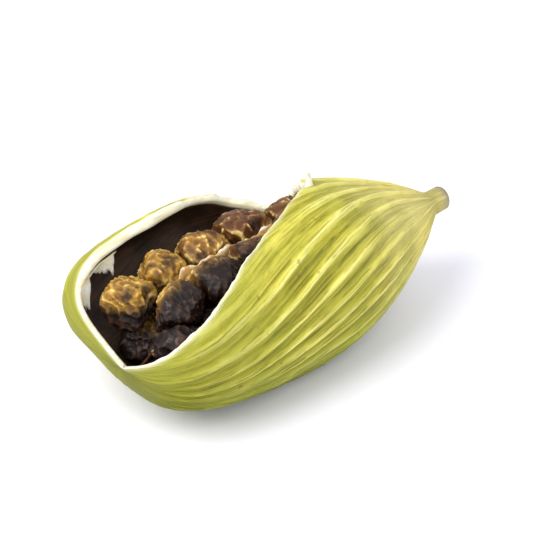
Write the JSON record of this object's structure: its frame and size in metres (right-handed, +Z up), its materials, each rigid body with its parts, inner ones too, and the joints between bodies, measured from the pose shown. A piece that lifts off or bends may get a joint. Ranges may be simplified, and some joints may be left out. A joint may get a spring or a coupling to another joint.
{
  "type": "green cardamom pod",
  "caption": "Ribbed green cardamom pod lying on its side, cut open along its upper side, with the far side bent outwards so that the dark angular seeds show beside a papery membrane.",
  "frame": {"origin": "under the middle of the pod's box, on the surface that it lies on", "axes": "+X along the pod to its stalk, +Z up, -Y to the side that faces the viewer"},
  "size_m": [0.02, 0.0106, 0.0083],
  "materials": {
    "husk": "dry papery ribbed skin, yellow-green, with a cream cut edge",
    "seeds": "wrinkled dark brown seed coat with paler tan membrane"
  },
  "bodies": {
    "root": {"husk": "husk", "seeds_far": "seeds", "seeds_near": "seeds", "seeds_below": "seeds"}
  },
  "joints": []
}
